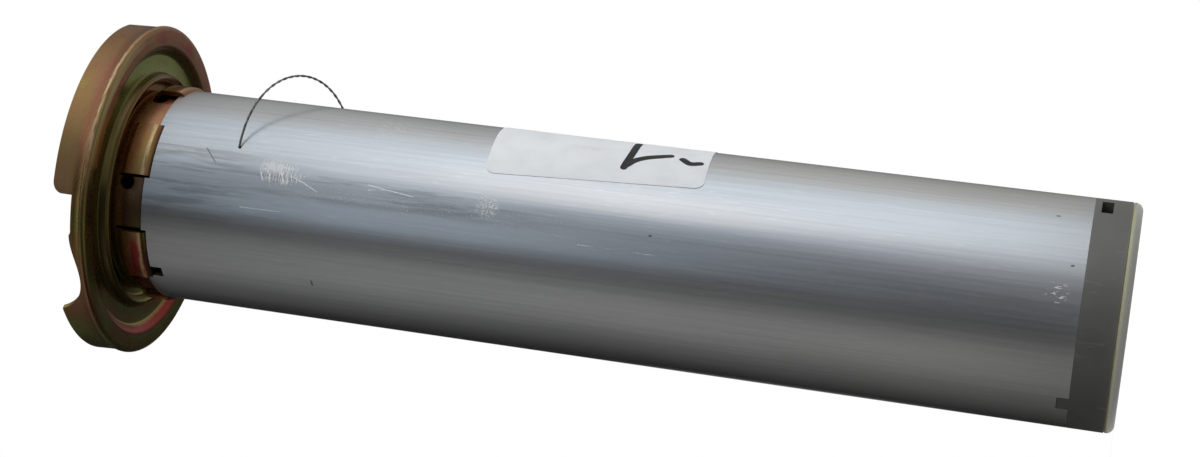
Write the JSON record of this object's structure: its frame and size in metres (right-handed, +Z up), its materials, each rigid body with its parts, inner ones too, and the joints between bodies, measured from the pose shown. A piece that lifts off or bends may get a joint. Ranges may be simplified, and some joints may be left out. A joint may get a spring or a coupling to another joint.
{
  "type": "fuel level sender",
  "caption": "Dip tube fuel level sender: bayonet flange, slotted aluminium tube, plastic foot cap and a float that slides inside on a rod.",
  "frame": {"origin": "centre of the bayonet flange's flat underside, on the tube's axis", "axes": "+Z up along the tube's axis, from the foot cap towards the terminals; +X towards the side with the wire loop and the label; the long side of the terminal shroud lies along X"},
  "size_m": [0.0858, 0.0858, 0.2605],
  "materials": {
    "zinc_steel": "yellow passivated zinc plate",
    "drawn_aluminium": "drawn, with fine lengthwise streaks",
    "grey_plastic": "moulded, matte",
    "label_paper": "matte paper with marker strokes",
    "steel_wire": "twisted wire, dull",
    "black_plastic": "moulded, satin",
    "gasket_rubber": "flat sheet rubber",
    "rivet_steel": "zinc plated",
    "blade_brass": "tinned brass",
    "bright_steel": "bright drawn",
    "insulating_board": "brown laminate",
    "resistance_alloy": "fine drawn wire",
    "contact_bronze": "spring bronze sheet",
    "float_foam": "closed-cell foam",
    "bush_plastic": "moulded, satin",
    "contact_silver": "polished contact metal",
    "buffer_rubber": "moulded rubber"
  },
  "bodies": {
    "housing": {"bayonet_flange": "zinc_steel", "tube_socket": "zinc_steel", "outer_tube": "drawn_aluminium", "end_cap": "grey_plastic", "paper_label": "label_paper", "wire_loop": "steel_wire", "terminal_carrier": "black_plastic", "carrier_gasket": "gasket_rubber", "carrier_rivets": "rivet_steel", "gauge_terminal": "blade_brass", "warning_terminal": "blade_brass", "earth_terminal": "blade_brass", "guide_rod": "bright_steel", "rod_clip": "bright_steel", "rod_washer": "bright_steel", "rod_nut": "bright_steel", "support_rod": "bright_steel", "foot_plate": "insulating_board", "gauge_wire": "resistance_alloy", "earth_wire": "resistance_alloy", "gauge_leaf": "contact_bronze", "earth_leaf": "contact_bronze", "reserve_leaf": "contact_bronze", "return_leaf": "contact_bronze", "lower_buffer": "buffer_rubber", "upper_buffer": "buffer_rubber"},
    "float": {"float_body": "float_foam", "float_bush": "bush_plastic", "contact_bridge": "contact_bronze", "bridge_pads": "contact_silver", "bridge_clip": "bright_steel", "reserve_ring": "contact_bronze"}
  },
  "joints": [
    {"name": "float_slide", "type": "slide", "parent": "housing", "child": "float", "axis": [0, 0, 1], "range_m": [0, 0.1763]}
  ]
}
